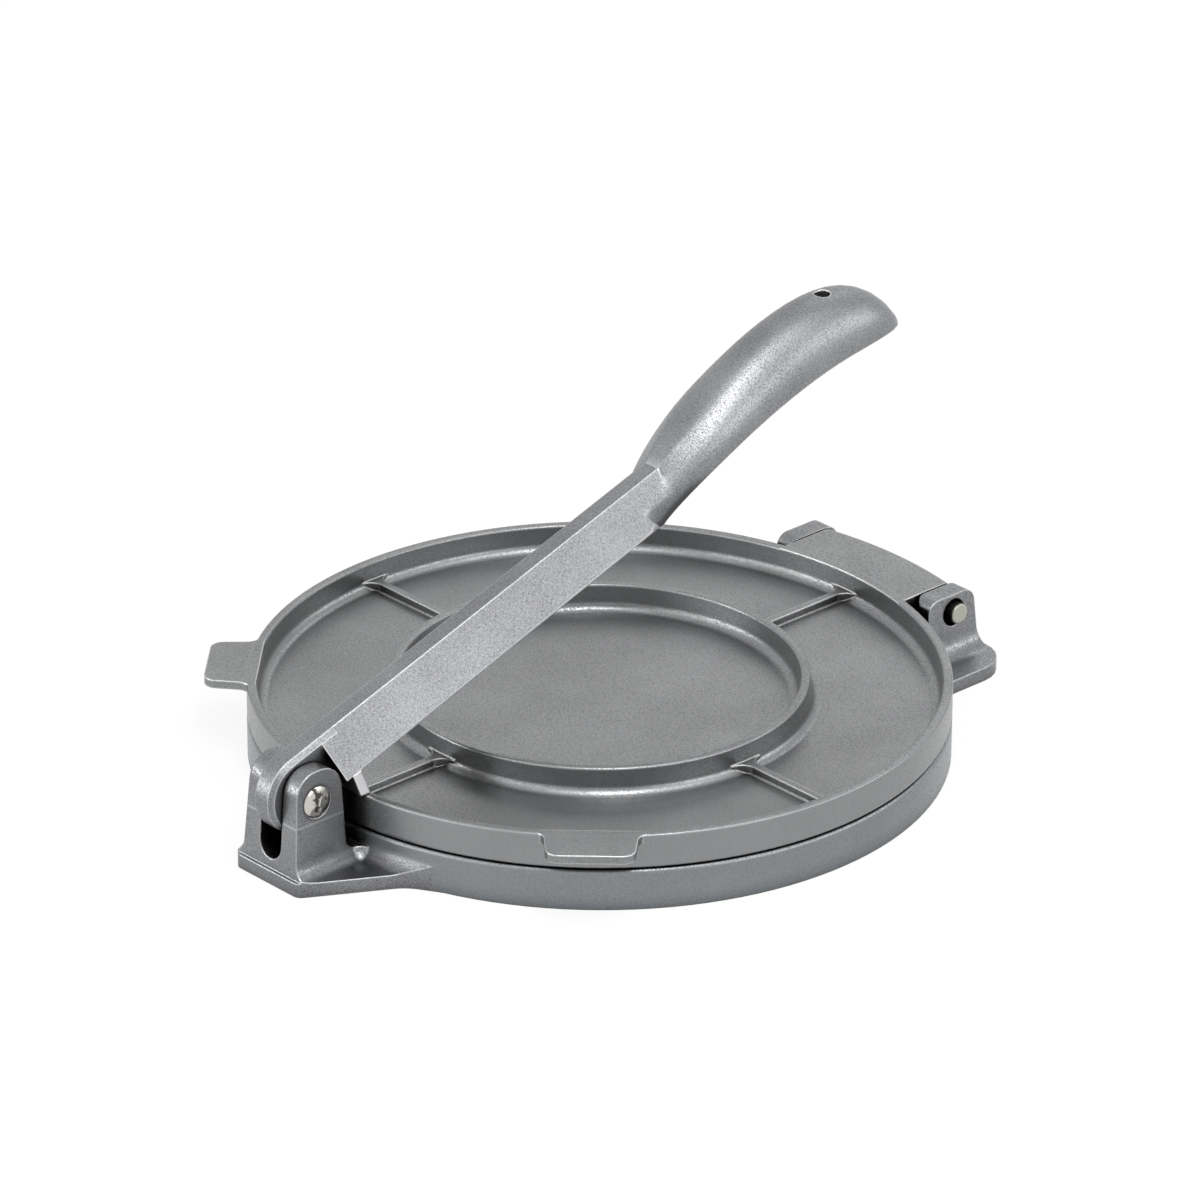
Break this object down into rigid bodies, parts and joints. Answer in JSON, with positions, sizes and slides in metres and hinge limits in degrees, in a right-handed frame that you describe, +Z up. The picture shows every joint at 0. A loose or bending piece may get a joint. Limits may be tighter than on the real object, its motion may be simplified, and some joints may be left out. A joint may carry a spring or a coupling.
{
  "type": "tortilla press",
  "caption": "Cast aluminium tortilla press: two hinged round plates, the upper one pressed down by a long lever with a hollow grip that pivots in a clevis.",
  "frame": {"origin": "centre of the round plates, on the table under the base", "axes": "+Z up; +Y towards the plate hinge, -Y towards the lever's clevis; both pins run along X"},
  "size_m": [0.2066, 0.2554, 0.1188],
  "materials": {
    "base_casting": "sand cast, its round side turned smooth",
    "plate_casting": "sand cast, satin",
    "lever_casting": "sand cast, flanks ground to a satin",
    "rivet_steel": "plated, with a hammered head",
    "pin_steel": "cut end of a drawn rod, zinc plated"
  },
  "bodies": {
    "lower_plate": {"base": "base_casting", "lever_pin": "rivet_steel"},
    "upper_plate": {"top_plate": "plate_casting", "hinge_pin": "pin_steel"},
    "lever": {"lever": "lever_casting"}
  },
  "joints": [
    {"name": "lever_swing", "type": "hinge", "parent": "lower_plate", "child": "lever", "pos_m": [0, -0.1182, 0.0261], "axis": [1, 0, 0], "range_deg": [0, 160]},
    {"name": "plate_hinge", "type": "hinge", "parent": "lower_plate", "child": "upper_plate", "pos_m": [0, 0.1145, 0.0176], "axis": [-1, 0, 0], "range_deg": [0, 110]}
  ],
  "couplings": [
    {"joint": "plate_hinge", "follows": "lever_swing", "ratio": 0.07}
  ]
}
